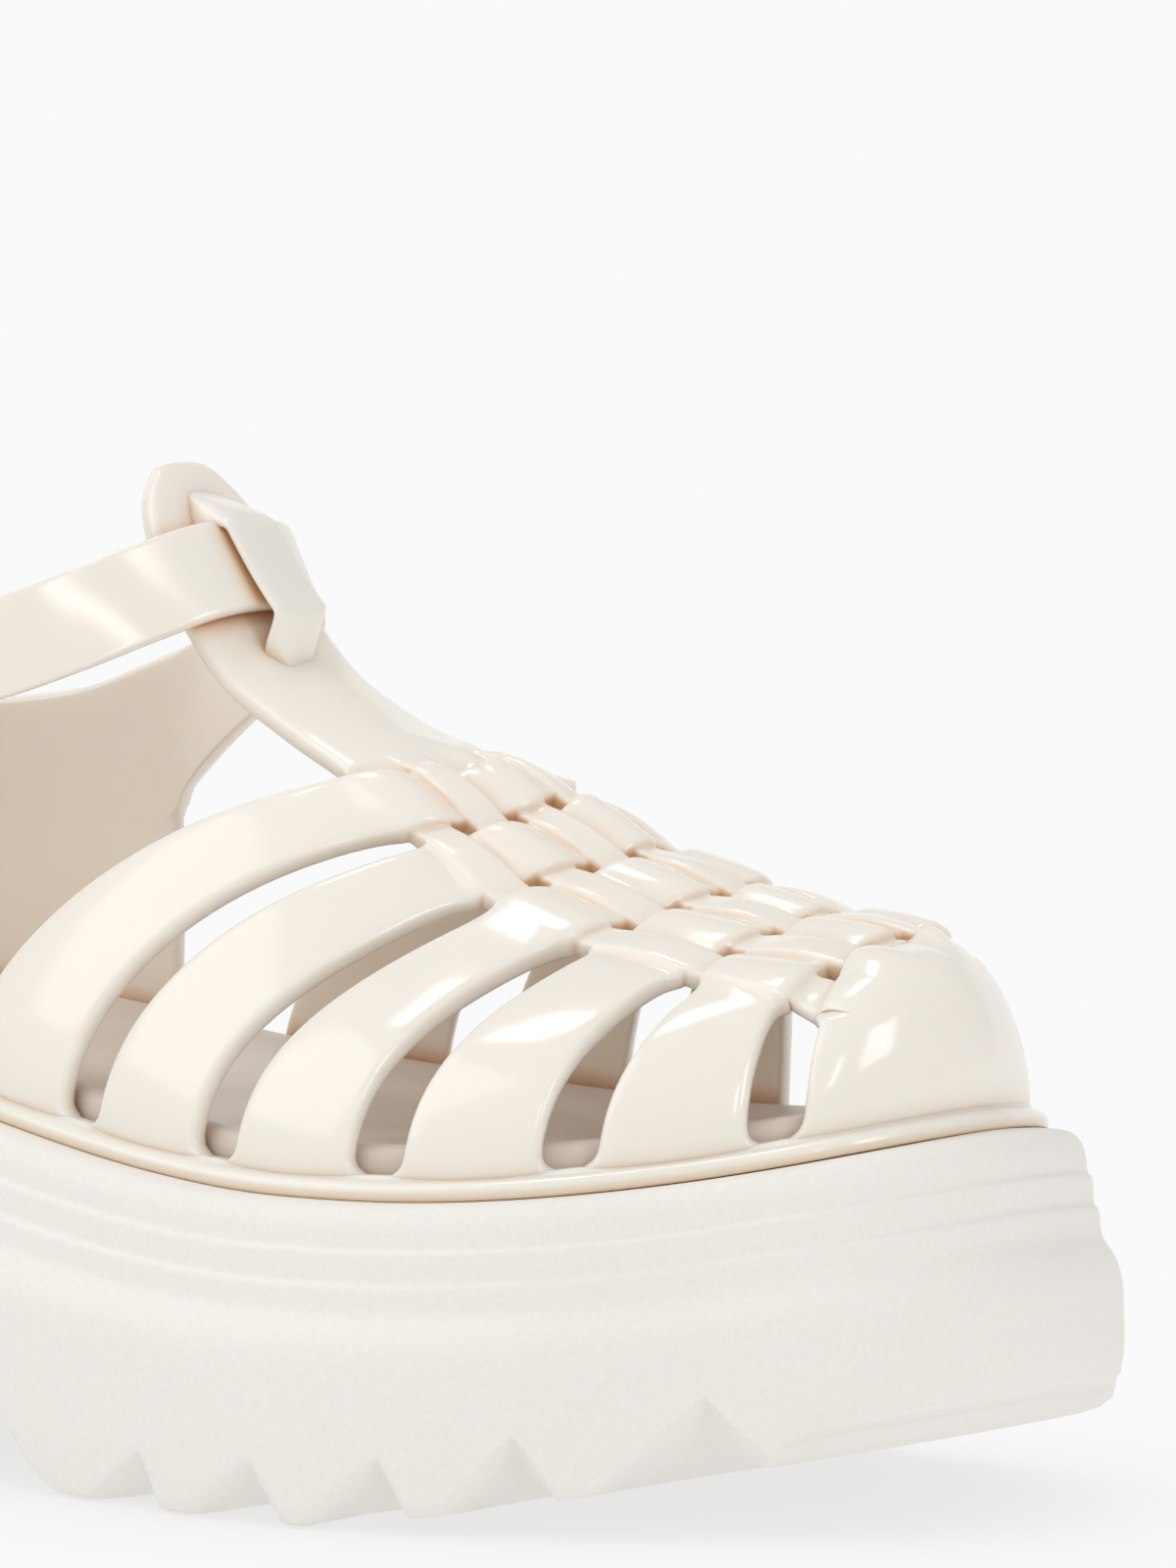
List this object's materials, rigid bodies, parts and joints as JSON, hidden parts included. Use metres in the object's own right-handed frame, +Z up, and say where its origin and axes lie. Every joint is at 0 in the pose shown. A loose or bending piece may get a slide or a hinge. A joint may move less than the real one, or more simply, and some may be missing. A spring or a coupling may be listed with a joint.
{
  "type": "jelly sandal",
  "caption": "Right-foot jelly fisherman sandal: glossy woven straps with a T-bar, closed toe and heel, buckled ankle strap, on a thick foam platform with ribbed rim and lugged edge.",
  "frame": {"origin": "centre of the bounding box in plan, on the ground under the sole", "axes": "+X towards the toe, +Z up, +Y towards the inner side of the foot, so -Y is the outer side with the buckle"},
  "size_m": [0.279, 0.1161, 0.1296],
  "materials": {
    "foam": "matt, off-white foam",
    "footbed": "satin, grey-pink beige",
    "jelly": "glossy, cream, a little translucent",
    "metal": "polished"
  },
  "bodies": {
    "root": {"platform_sole": "foam", "insole": "footbed", "upper": "jelly", "buckle_frame": "metal", "buckle_prong": "metal"}
  },
  "joints": []
}
